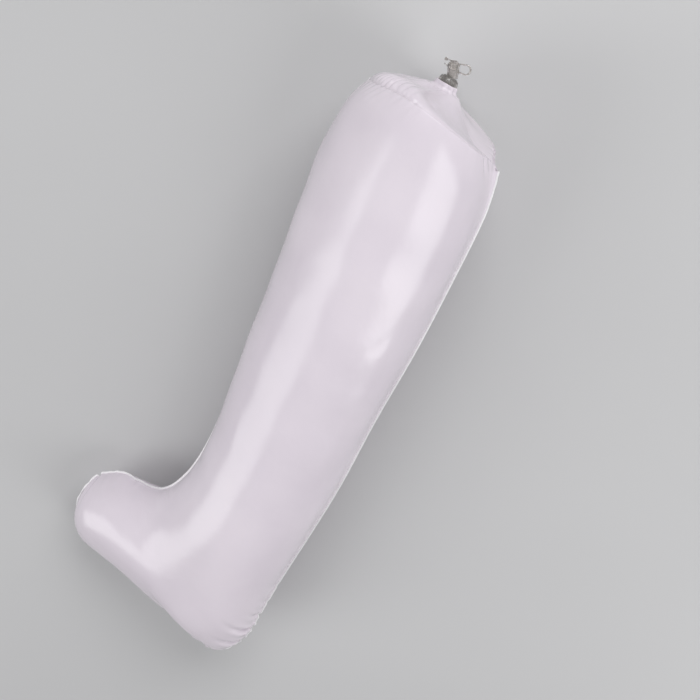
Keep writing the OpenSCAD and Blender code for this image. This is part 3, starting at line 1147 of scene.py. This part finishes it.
    def gathers(self, theta: np.ndarray, inward: np.ndarray) -> np.ndarray:
        """Depth of the folds that run from the seam towards the neck, round the dome.

        Args:
            theta: Angles round the dome.
            inward: Shares of the way from the seam, 0, to the neck, 1, as a column.

        Returns:
            The depth at each share, one row each, and angle.
        """
        size = self.dome
        rng = np.random.default_rng(9)
        hidden_side = range(248, 345, 11)
        folds = list(self.folds)
        folds += [(angle + rng.uniform(-4, 4), rng.uniform(0.3, 1.0)) for angle in hidden_side]
        beside_seam = (inward / size.fold_peak * np.exp(1 - inward / size.fold_peak)) ** 1.5
        beside_neck = size.fold_at_neck * near(inward - 0.85, 0.22)
        total = np.zeros((len(inward), len(theta)))
        for angle, strength in folds:
            lean = (size.fold_lean if angle < 110 else 0.0) * inward
            gap = (theta - math.radians(angle) + lean + math.pi) % (2 * math.pi) - math.pi
            share = beside_seam + beside_neck * (angle < 100)
            total += strength * hat(gap / math.radians(2.0 + rng.uniform(0, 0.8))) * share
        return size.fold * total

    def neck_profile(self, share: float) -> tuple[float, float]:
        """The neck's radius and height, from its foot, 0, to its lip, 1.

        Args:
            share: The share of the way up.

        Returns:
            The radius and the height over the neck's foot.
        """
        r, h = self.dome.neck_radius, self.dome.neck_height
        shape = np.array([
            [r + self.dome.neck_spread, 0.0], [r + 0.0011, 0.0007], [r, 0.0022], [r - 0.0001, h - 0.0016],
            [r - 0.0003, h - 0.0005], [r - 0.0007, h], [self.dome.lip_radius, h],
        ])
        radius, height = catmull_rom(shape, np.array([share]))[0]
        return float(radius), float(height)

    def build(self, valve: "Valve", finish: bpy.types.Material) -> None:
        """Builds the three panels and rides them on the bladder.

        Args:
            valve: The valve, for the neck's direction.
            finish: The film's material.
        """
        pieces = (
            (self.panel("film_left_panel", 1, 1), "left_panel"),
            (self.panel("film_right_panel", -1, 2), "right_panel"),
            (self.top_panel("film_top_panel", valve), "top_panel"),
        )
        for piece, node in pieces:
            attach(dress(piece, finish, node), "bladder")


# The valve


@dataclass
class Valve:
    """The clear push-in valve: base, rolling diaphragm, leaning stem, strap, plug and flap.

    Attributes:
        bladder: The bladder that it stands in.
        base_lean: How far the base leans towards the back.
        stem_lean: How far the stem leans over the base.
        foot_back: How far the stem's foot stands towards the back.
        foot_height: How high it stands over the neck's foot.
        foot_radius: Its radius.
        flange_radius: The radius of the flange under the neck.
        flange_height: How high its underside stands.
        collar_radius: The collar's radius.
        collar_height: How far it stands out of the neck.
        stem_length: The stem's length.
        stem_radius: Its radius.
        bead_radius: The radius of the bead round its mouth.
        passage_radius: The radius of the passage that the flap closes.
        bore_radius: The radius of the pump nozzle's bore.
        mouth_radius: The radius of the plug pin's bore.
        head_radius: The radius of the plug's head.
        pin_length: How far the plug's pin reaches into the stem.
        lip_height: The thumb lip's height on the stem.
        strap_reach: How far from the stem's axis the middle of the strap's bend stands.
        loop_radius: The bend's outer radius.
        strap_thickness: The strap's thickness.
        strap_width: Its width.
        mount_at: The height of the mount nozzle_bore over the stem's foot.
        softening: How far a corner of an outline is cut.
        segments: How many segments a turned piece has.
    """

    bladder: Bladder
    base_lean: float = math.radians(8)
    stem_lean: float = math.radians(24)
    foot_back: float = 0.0013
    foot_height: float = 0.0098
    foot_radius: float = 0.0052
    flange_radius: float = 0.0080
    flange_height: float = 0.0039
    collar_radius: float = 0.0074
    collar_height: float = 0.0038
    stem_length: float = 0.0086
    stem_radius: float = 0.0041
    bead_radius: float = 0.0044
    passage_radius: float = 0.0026
    bore_radius: float = 0.0029
    mouth_radius: float = 0.0032
    head_radius: float = 0.0044
    pin_length: float = 0.0030
    lip_height: float = 0.0074
    strap_reach: float = 0.0088
    loop_radius: float = 0.0038
    strap_thickness: float = 0.0011
    strap_width: float = 0.0036
    mount_at: float = 0.0030
    softening: float = 0.00025
    segments: int = 96

    def base_axes(self) -> tuple[np.ndarray, np.ndarray, np.ndarray]:
        """The base's own axes in the drawn frame: towards the back, sideways and outwards."""
        s, c = math.sin(self.base_lean), math.cos(self.base_lean)
        return np.array([c, -s, 0.0]), np.array([0.0, 0.0, -1.0]), np.array([s, c, 0.0])

    def at_base(self, p: np.ndarray) -> np.ndarray:
        """Points of the base's own frame, in the drawn frame."""
        x, y, z = self.base_axes()
        return self.bladder.valve_seat() + p[..., :1] * x + p[..., 1:2] * y + p[..., 2:] * z

    def at_stem(self, p: np.ndarray) -> np.ndarray:
        """Points of the leaning stem's own frame, in the drawn frame.

        Args:
            p: The points, one row each.

        Returns:
            The points in the drawn frame.
        """
        s, c = math.sin(self.stem_lean), math.cos(self.stem_lean)
        x = p[..., :1] * c - p[..., 2:] * s + self.foot_back
        z = p[..., :1] * s + p[..., 2:] * c + self.foot_height
        return self.at_base(np.concatenate([x, p[..., 1:2], z], -1))

    def seat_bladder(self) -> None:
        """Moves the bladder so that the stem's bore is where the frame's record has it."""
        mount = next(m for m in frame["record"]["mounts"] if m["name"] == "nozzle_bore")
        middle = self.at_stem(np.array([0.0, 0.0, self.mount_at]))
        self.bladder.shift = np.array(mount["pos_m"]) - middle @ self.bladder.rotation().T

    def in_stem(self, name: str, points: np.ndarray, faces: Faces) -> bpy.types.Object:
        """A mesh object from points of the stem's own frame."""
        return make_object(name, self.bladder.rest(self.at_stem(points.reshape(-1, 3))), faces)

    def lathe(self, name: str, profile: Outline, leaning: bool) -> bpy.types.Object:
        """Turns a closed outline round the base's or the stem's axis.

        Args:
            name: The piece's name.
            profile: The outline's corners (radius, height), counter-clockwise.
            leaning: Whether it stands on the stem's axis and not on the base's.

        Returns:
            The new object.
        """
        outline = round_corners(profile, self.softening)
        angles = np.linspace(0, 2 * math.pi, self.segments, endpoint=False)
        points = np.array([[(r * math.cos(a), r * math.sin(a), z) for r, z in outline] for a in angles])
        place = self.at_stem if leaning else self.at_base
        rows, columns = points.shape[:2]
        points = self.bladder.rest(place(points.reshape(-1, 3)))
        faces = []
        for i in range(rows):
            for j in range(columns):
                n, k = (i + 1) % rows, (j + 1) % columns
                faces.append((i * columns + j, n * columns + j, n * columns + k, i * columns + k))
        return make_object(name, points, faces)

    def collar_top(self) -> float:
        """The height of the collar's rim over the neck's foot."""
        return self.bladder.dome.neck_height + self.collar_height

    def base(self) -> bpy.types.Object:
        """The flange under the neck's lip, and the tapered collar that stands out of it.

        Returns:
            The piece's object.
        """
        r, wide, low, top = self.collar_radius, self.flange_radius, self.flange_height, self.collar_top()
        rim = r - 0.0008
        corners = [
            (r - 0.0009, low), (wide, low), (wide - 0.0003, low + 0.001), (r, low + 0.001), (r, low + 0.0016),
            (rim, top - 0.0004), (rim - 0.0004, top), (rim - 0.0008, top),
        ]
        return self.lathe("valve_base_collar", corners, False)

    def diaphragm(self) -> bpy.types.Object:
        """The thin roll from the collar's foot, up its inside, to the stem's foot.

        Returns:
            The piece's object.
        """
        foot, low, rim, h = self.foot_radius, self.flange_height, self.collar_top(), self.foot_height
        corners = [
            (0.0065, low), (0.00638, low + 0.0009), (0.00608, low + 0.0012), (0.00563, rim - 0.0006),
            (0.00558, rim + 0.0002), (foot, h - 0.0001), (foot, h - 0.0006), (0.00533, h - 0.0009),
            (0.00568, low + 0.0012), (0.00568, low),
        ]
        return self.lathe("valve_rolling_diaphragm", corners, False)

    def stem(self) -> bpy.types.Object:
        """The leaning tube, its foot and its thumb lip, as one soft piece.

        Returns:
            The piece's object.
        """
        length, r, bead = self.stem_length, self.stem_radius, self.bead_radius
        mouth, bore, passage = self.mouth_radius, self.bore_radius, self.passage_radius
        step = length - self.pin_length
        tube = self.lathe("valve_stem_tube", [
            (passage, -0.0004), (0.0037, -0.0004), (0.0037, 0.0004), (0.0040, 0.0016), (r, 0.0028),
            (r, length - 0.0011), (bead, length - 0.0008), (bead, length - 0.0002), (bead - 0.0003, length),
            (mouth, length), (mouth, step - 0.0002), (bore, step - 0.0003), (bore, 0.0006), (passage, 0.0005),
        ], True)
        low, high, radius = self.foot_height - 0.0012, self.foot_height, self.foot_radius
        foot = self.lathe("stem_foot", [
            (0.0030, low), (radius, low), (radius, high - 0.0001), (0.0042, high + 0.0002),
            (0.0030, high + 0.0002),
        ], False)
        lip = self.slab("stem_lip", [(-0.0037, 0.0), (-0.0056, 0.0012)], 0.0026, 0.0008, self.lip_height)
        return join(tube, foot, lip)

    def slab(
        self, name: str, run: Outline, width: float, thickness: float, height: float
    ) -> bpy.types.Object:
        """A flat tongue with a round end in the stem's frame.

        Args:
            name: The piece's name.
            run: Its middle line as (x, rise) points; the round end is at the last one.
            width: Its width across the middle line.
            thickness: Its thickness.
            height: The height of the line's start over the stem's foot.

        Returns:
            The new object.
        """
        (x0, z0), (x1, z1) = run
        sign = -1.0 if x1 < x0 else 1.0
        half, softer = width / 2, 0.0004
        edge = [(x0, -half), (x1, -half)]
        edge += [(x1 + sign * half * math.cos(a), half * math.sin(a)) for a in np.linspace(-1.4, 1.4, 15)]
        edge += [(x1, half), (x0, half)]
        rings = []
        for swell, rise in ((0.0, -0.5), (0.8, -0.38), (1.0, 0.0), (0.8, 0.38), (0.0, 0.5)):
            grow = (swell - 1.0) * softer
            ring = []
            for x, y in edge:
                z = z0 + (z1 - z0) * (x - x0) / (x1 - x0) + rise * thickness
                ring.append((x + (sign * grow if x != x0 else 0.0), y * (1 + grow / half), z + height))
            rings.append(ring)
        points = np.array(rings)
        return self.in_stem(name, points, closed_run(*points.shape[:2], flip=sign < 0))

    def plug(self) -> bpy.types.Object:
        """The plug: tapered pin, conical head, pull tab and its rolled grip.

        Returns:
            The piece's object.
        """
        play = 0.00002
        top, r, mouth = self.stem_length + play, self.head_radius, self.mouth_radius
        head = self.lathe("valve_plug_head", [
            (0.0, top - self.pin_length), (mouth - 0.0006, top - self.pin_length), (mouth - 0.0001, top),
            (r, top), (r, top + 0.0005), (r - 0.0004, top + 0.0009), (r - 0.0011, top + 0.0018),
            (0.0022, top + 0.0031), (0.0017, top + 0.0033), (0.0, top + 0.0033),
        ], True)
        tab = self.slab("plug_tab", [(-0.0012, 0.0), (-0.0046, 0.0008)], 0.0030, 0.0008, top + 0.0028)
        return join(head, tab, self.grip(-0.0056, top + 0.0038))

    def grip(self, x: float, z: float) -> bpy.types.Object:
        """The rolled edge of the pull tab: a short bar across it, with round ends.

        Args:
            x: Its place in the stem's frame.
            z: Its height there.

        Returns:
            The new object.
        """
        half = ((0.0020, 0.0003), (0.0019, 0.0008), (0.0016, 0.0011))
        bar = [(-y, r) for y, r in half] + [(0.0, 0.00105)] + list(half[::-1])
        turn = np.linspace(0, 2 * math.pi, 24, endpoint=False)
        points = np.array([[(x + r * math.cos(a), y, z + r * math.sin(a)) for a in turn] for y, r in bar])
        return self.in_stem("plug_grip", points, closed_run(*points.shape[:2], flip=True))

    def strap(self) -> bpy.types.Object:
        """The strap: a flat band from the head's edge round to the stem's side.

        Returns:
            The piece's object.
        """
        r = self.loop_radius - self.strap_thickness / 2
        middle = self.stem_length + 0.0014 - self.loop_radius
        high, low = middle + r, middle - r
        path = [(0.0033, high + 0.0003), (0.0050, high + 0.0002), (0.0070, high + 0.0001)]
        bend = np.linspace(0, math.pi, 25)
        path += [(self.strap_reach + r * math.sin(a), middle + r * math.cos(a)) for a in bend]
        path += [(0.0075, low + 0.0003), (0.0060, low + 0.0008), (0.0040, low + 0.0014)]
        path = np.array(path)
        tangent = unit(np.gradient(path, axis=0))
        side = np.stack([-tangent[:, 1], tangent[:, 0]], 1)
        section = []
        for a in np.linspace(0, 2 * math.pi, 20, endpoint=False):
            wide = math.copysign(abs(math.cos(a)) ** 0.5, math.cos(a)) * self.strap_width / 2
            thick = math.copysign(abs(math.sin(a)) ** 0.6, math.sin(a)) * self.strap_thickness / 2
            section.append((wide, thick))
        points = np.array([
            [(x + nx * thick, wide, z + nz * thick) for wide, thick in section]
            for (x, z), (nx, nz) in zip(path, side)
        ])
        return self.in_stem("plug_strap_loop", points, closed_run(*points.shape[:2]))

    def point(self, x: float, z: float, leaning: bool = True) -> tuple[float, float, float]:
        place = self.at_stem if leaning else self.at_base
        return tuple(float(v) for v in self.bladder.rest(place(np.array([x, 0.0, z]))))

    def build(self, clear: bpy.types.Material, warm: bpy.types.Material) -> None:
        """Builds the valve's pieces, and rides the base, stem and plug on their bodies.

        Args:
            clear: The material of base, diaphragm, stem and flap.
            warm: The material of plug and strap.
        """
        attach(dress(self.base(), clear, "valve_base"), "bladder")
        roll = dress(self.diaphragm(), clear, "valve_diaphragm")
        roll_ends = self.point(0.0, 0.0050, False), self.point(0.0, 0.0096, False)
        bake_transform(roll)
        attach(dress(self.stem(), clear, "valve_stem"), "stem")
        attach(dress(self.plug(), warm, "valve_plug"), "plug")
        strap = dress(self.strap(), warm, "plug_strap")
        self.point(0.0, 0.0030)
        self.point(0.0, 0.0092)
        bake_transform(strap)
        flap = frame["nodes"]["check_flap"]
        flap.data.materials.clear()
        flap.data.materials.append(clear)


def closed_run(rows: int, columns: int, flip: bool = False) -> Faces:
    """Faces over a run of looped rows, with a face that closes it at either end.

    Args:
        rows: How many rows of vertices.
        columns: How many vertices in each row.
        flip: Whether the faces look the other way.

    Returns:
        The faces.
    """
    first, final = tuple(range(columns)), tuple(range((rows - 1) * columns, rows * columns))
    ends = [first, final[::-1]] if flip else [first[::-1], final]
    return grid_faces(rows, columns, wrap=True, flip=flip) + ends


def round_corners(corners: Outline, softening: float) -> Outline:
    """Cuts each corner of a closed outline with a small curve of three points.

    Args:
        corners: The corners (radius, height).
        softening: How far from the corner the curve begins, at most.

    Returns:
        The rounded outline. Corners on the axis stay sharp.
    """
    outline = []
    axis = 0.00001
    for i, corner in enumerate(corners):
        p, a, b = np.array(corner), np.array(corners[i - 1]), np.array(corners[(i + 1) % len(corners)])
        if corner[0] < axis:
            outline.append((axis, corner[1]))
            continue
        cut = min(softening, 0.35 * np.linalg.norm(a - p), 0.35 * np.linalg.norm(b - p))
        start, end = p + unit(a - p) * cut, p + unit(b - p) * cut
        for u in (0.0, 0.5, 1.0):
            q = start * (1 - u) ** 2 + p * 2 * u * (1 - u) + end * u**2
            outline.append((float(q[0]), float(q[1])))
    return outline


def join(first: bpy.types.Object, *others: bpy.types.Object) -> bpy.types.Object:
    """Makes several meshes one object, which keeps the first one's name.

    Args:
        first: The object that stays.
        *others: The objects that go into it.

    Returns:
        The first object.
    """
    points, faces = [], []
    for obj in (first, *others):
        start = len(points)
        points += [tuple(v.co) for v in obj.data.vertices]
        faces += [tuple(start + i for i in p.vertices) for p in obj.data.polygons]
    name = first.name
    for obj in (first, *others):
        bpy.data.objects.remove(obj)
    return make_object(name, np.array(points), faces)


# The room


@dataclass(frozen=True)
class SoftBox:
    """A soft box.

    Attributes:
        name: The lamp's name.
        place: Where it hangs.
        size: Its width and height.
        watts: Its power.
        aim: What it points at.
    """

    name: str
    place: Place
    size: tuple[float, float]
    watts: float
    aim: Place = (0.0, 0.0, 0.06)

    def hang(self) -> None:
        """Hangs it in the scene."""
        data = bpy.data.lights.new(self.name, "AREA")
        data.shape = "RECTANGLE"
        data.size, data.size_y = self.size
        data.energy = self.watts
        lamp = bpy.data.objects.new(self.name, data)
        lamp.location = self.place
        lamp.rotation_euler = (Vector(self.aim) - Vector(self.place)).to_track_quat("-Z", "Y").to_euler()
        bpy.context.scene.collection.objects.link(lamp)


def soft_boxes() -> tuple[SoftBox, ...]:
    """The three soft boxes that give the photograph's highlights.

    Returns:
        The soft boxes, in the order in which they are hung.
    """
    return (
        SoftBox("shin_softbox", (-1.25, -0.80, 1.0), (0.95, 1.5), 12.5),
        SoftBox("back_softbox", (1.2, -0.28, 0.95), (0.6, 1.4), 8.5, (0.07, 0.15, 0.08)),
        SoftBox("top_softbox", (0.15, 1.25, 1.15), (1.3, 0.9), 15.5, (0.03, 0.15, 0.08)),
    )


@dataclass
class Studio:
    """A pale floor, soft light and the photograph's camera.

    Attributes:
        bladder: The bladder, whose turn the camera follows.
        eye: Where the camera stands, in the drawn frame.
        look_at: What it looks at there.
        image_up: Which way is up in its picture there.
        sensor: Its sensor's width, in millimetres.
        lens: Its focal length, in millimetres.
        floor_half: Half the floor's width, in metres.
        floor_colour: The floor's colour.
        floor_shade: How dark the floor's clouds are beside it.
        lamps: The soft boxes.
        room_colour: The colour of the room's own light.
        room_strength: Its strength.
    """

    bladder: Bladder
    eye: Place = (0.1412, 0.5333, 0.7721)
    look_at: Place = (0.0051, 0.2825, 0.0)
    image_up: Place = (-0.4110, 0.8859, -0.2152)
    sensor: float = 36.0
    lens: float = 36.0 * 1100 / 700
    floor_half: float = 3.0
    floor_colour: Colour = (0.57, 0.57, 0.575)
    floor_shade: float = 0.96
    lamps: tuple[SoftBox, ...] = field(default_factory=soft_boxes)
    room_colour: Colour = (0.98, 0.98, 1.0)
    room_strength: float = 0.27

    def camera(self) -> None:
        """Stands the camera where the photograph was taken from."""
        eye, aim = self.bladder.rest(np.array([self.eye, self.look_at]))
        forward = unit(aim - eye)
        up = self.bladder.rotation() @ np.array(self.image_up)
        right = unit(np.cross(forward, up))
        up = np.cross(right, forward)
        data = bpy.data.cameras.new("camera")
        data.sensor_width = self.sensor
        data.lens = self.lens
        camera = bpy.data.objects.new("camera", data)
        turn = Matrix((right, up, -forward)).transposed()
        camera.matrix_world = Matrix.Translation(Vector(eye)) @ turn.to_4x4()
        bpy.context.scene.collection.objects.link(camera)
        bpy.context.scene.camera = camera

    def floor(self) -> None:
        """Lays the floor under the frame."""
        s = self.floor_half
        corners = np.array([(-s, -s, 0), (s, -s, 0), (s, s, 0), (-s, s, 0)])
        obj = make_object("floor", corners, [(0, 1, 2, 3)], False)
        b = NodeBuilder("pale_floor")
        shade = tuple(self.floor_shade * c for c in self.floor_colour)
        colour = b.ramp(b.noise(3.0, 2.0), ((0.3, shade), (0.7, self.floor_colour)))
        b.link(colour, b.shader.inputs["Base Color"])
        b.shader.inputs["Roughness"].default_value = 0.6
        obj.data.materials.append(b.material)

    def light(self) -> None:
        """Hangs the soft boxes, sets the room's own light and how the picture shows it."""
        for lamp in self.lamps:
            lamp.hang()
        world = bpy.data.worlds.new("room")
        bpy.context.scene.world = world
        world.use_nodes = True
        background = world.node_tree.nodes["Background"]
        background.inputs["Color"].default_value = (*self.room_colour, 1.0)
        background.inputs["Strength"].default_value = self.room_strength
        bpy.context.scene.view_settings.view_transform = "Standard"


def dress(obj: bpy.types.Object, finish: bpy.types.Material, node: str) -> bpy.types.Object:
    """Gives a piece its finish, and hides the frame's node that it replaces.

    Args:
        obj: The piece.
        finish: Its material.
        node: The frame's node that it replaces.

    Returns:
        The piece.
    """
    obj.data.materials.clear()
    obj.data.materials.append(finish)
    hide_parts(node)
    log.info("%s: %d faces", obj.name, len(obj.data.polygons))
    return obj


def main() -> None:
    """Builds the shaper and its room."""
    logging.basicConfig(level=logging.INFO, format="%(message)s")
    bladder = Bladder()
    valve = Valve(bladder)
    valve.seat_bladder()
    studio = Studio(bladder)
    studio.camera()
    film = FilmFinish().build()
    clear = VinylFinish("clear_vinyl", (0.84, 0.82, 0.80), (0.72, 0.69, 0.66), 0.86).build()
    warm = VinylFinish("clear_plug_vinyl", (0.82, 0.79, 0.76), (0.70, 0.66, 0.62), 0.80).build()
    bladder.build(valve, film)
    valve.build(clear, warm)
    studio.floor()
    studio.light()


if __name__ == "__main__":
    main()
